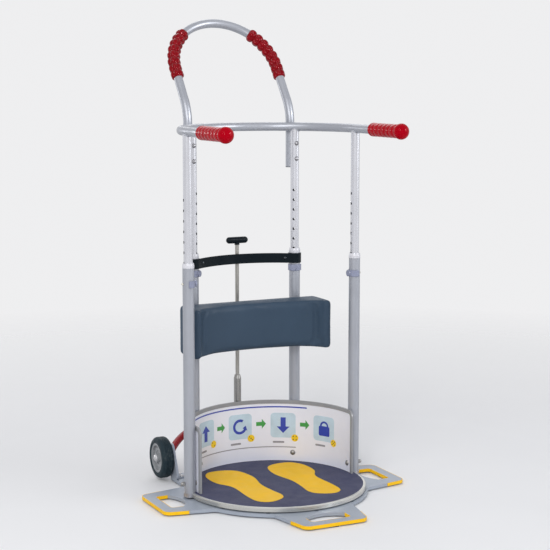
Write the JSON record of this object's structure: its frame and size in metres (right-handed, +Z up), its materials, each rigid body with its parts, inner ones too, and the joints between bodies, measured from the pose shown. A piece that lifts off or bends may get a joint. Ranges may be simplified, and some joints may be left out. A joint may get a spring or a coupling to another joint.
{
  "type": "patient turner",
  "caption": "Turntable standing aid on a flat eared base, with guard panel, telescopic uprights, gripped patient rail, leaning carer hoop, knee pad, turning lock and transport wheels.",
  "frame": {"origin": "on the floor, on the turning axis, in the middle of the rubber sheet under the base", "axes": "+Z up along the turning axis; +Y the way the patient faces, towards the guard panel, the wheels and the hoop; +X to the patient's right"},
  "size_m": [0.653, 0.7015, 1.1702],
  "materials": {
    "base_coat": "light blue-grey coat, satin",
    "bracket_coat": "light blue-grey coat, satin",
    "silver_coat": "silver-grey coat, satin",
    "tube_steel": "bright, drawn along the tube",
    "bright_steel": "polished",
    "steel": "plain",
    "sleeve_steel": "grey coat, satin",
    "deck_alloy": "plain sheet",
    "rim_alloy": "turned, satin",
    "foot_alloy": "satin",
    "yellow": "matte",
    "black_rubber": "matte",
    "mat_rubber": "ribbed, matte",
    "tyre": "matte",
    "hub_plastic": "fine grain",
    "white_plastic": "moulded",
    "panel_plastic": "sheet, satin",
    "trim_plastic": "extruded, satin",
    "black_plastic": "fine grain",
    "clip_plastic": "moulded, satin",
    "red_coat": "gloss coat",
    "red_grip": "soft, smooth",
    "pad_vinyl": "coated fabric, fine grain"
  },
  "bodies": {
    "base": {"base_plate": "base_coat", "ear_edging": "yellow", "base_rubber": "black_rubber", "pivot_post": "steel", "pivot_cap": "steel", "lower_race": "steel", "bearing_balls": "steel", "wheel_bracket_left": "bracket_coat", "wheel_bracket_right": "bracket_coat", "bracket_bolts": "bright_steel", "wheel_axles": "bright_steel", "foot_bar": "red_coat"},
    "wheel_left": {"tyre_left": "tyre", "wheel_hub_left": "hub_plastic", "wheel_bush_left": "white_plastic"},
    "wheel_right": {"tyre_right": "tyre", "wheel_hub_right": "hub_plastic", "wheel_bush_right": "white_plastic"},
    "turntable": {"deck_plate": "deck_alloy", "deck_rim": "rim_alloy", "anti_slip_mat": "mat_rubber", "shoe_prints": "yellow", "hub_bush": "white_plastic", "upper_race": "steel", "guard_panel": "panel_plastic", "panel_trim": "trim_plastic", "panel_fasteners": "bright_steel", "upright_feet": "foot_alloy", "lower_tube_right_front": "silver_coat", "lower_tube_right_rear": "silver_coat", "lower_tube_left_rear": "silver_coat", "lower_tube_left_front": "silver_coat", "collars": "white_plastic", "cross_band": "black_plastic", "band_rivets": "steel", "rod_guide": "black_plastic", "guide_sleeve": "sleeve_steel", "sleeve_clamps": "trim_plastic"},
    "handle_frame": {"inner_tube_right_front": "tube_steel", "inner_tube_right_rear": "tube_steel", "inner_tube_left_rear": "tube_steel", "inner_tube_left_front": "tube_steel", "patient_rail": "silver_coat", "rail_grip_left": "red_grip", "rail_grip_right": "red_grip", "carer_hoop": "silver_coat", "hoop_grip_left": "red_grip", "hoop_grip_right": "red_grip", "hoop_bolts": "steel", "hoop_plugs": "black_plastic"},
    "lock_rod": {"lock_rod": "bright_steel", "tee_handle": "black_plastic"},
    "knee_pad": {"knee_pad": "pad_vinyl", "pad_backing": "deck_alloy", "pad_clamps": "foot_alloy", "pad_knobs": "black_plastic"},
    "clip_right_front": {"clip_right_front": "clip_plastic"},
    "clip_right_rear": {"clip_right_rear": "clip_plastic"},
    "clip_left_rear": {"clip_left_rear": "clip_plastic"},
    "clip_left_front": {"clip_left_front": "clip_plastic"}
  },
  "joints": [
    {"name": "turntable_turn", "type": "hinge", "parent": "base", "child": "turntable", "pos_m": [0, 0, 0.015], "axis": [0, 0, 1], "continuous": true},
    {"name": "wheel_left_spin", "type": "hinge", "parent": "base", "child": "wheel_left", "pos_m": [-0.212, 0.225, 0.059], "axis": [1, 0, 0], "continuous": true},
    {"name": "wheel_right_spin", "type": "hinge", "parent": "base", "child": "wheel_right", "pos_m": [0.212, 0.225, 0.059], "axis": [1, 0, 0], "continuous": true},
    {"name": "handle_height", "type": "slide", "parent": "turntable", "child": "handle_frame", "axis": [0, 0, 1], "range_m": [-0.2, 0.1]},
    {"name": "lock_rod_slide", "type": "slide", "parent": "turntable", "child": "lock_rod", "axis": [0, 0, 1], "range_m": [-0.01, 0.03]},
    {"name": "knee_pad_height", "type": "slide", "parent": "turntable", "child": "knee_pad", "axis": [0, 0, 1], "range_m": [-0.12, 0.05]},
    {"name": "clip_right_front_pull", "type": "slide", "parent": "turntable", "child": "clip_right_front", "axis": [-0.9994, -0.0349, 0], "range_m": [0, 0.036]},
    {"name": "clip_right_rear_pull", "type": "slide", "parent": "turntable", "child": "clip_right_rear", "axis": [-0.6293, -0.7771, 0], "range_m": [0, 0.036]},
    {"name": "clip_left_rear_pull", "type": "slide", "parent": "turntable", "child": "clip_left_rear", "axis": [0.6293, -0.7771, 0], "range_m": [0, 0.036]},
    {"name": "clip_left_front_pull", "type": "slide", "parent": "turntable", "child": "clip_left_front", "axis": [0.9994, -0.0349, 0], "range_m": [0, 0.036]}
  ]
}
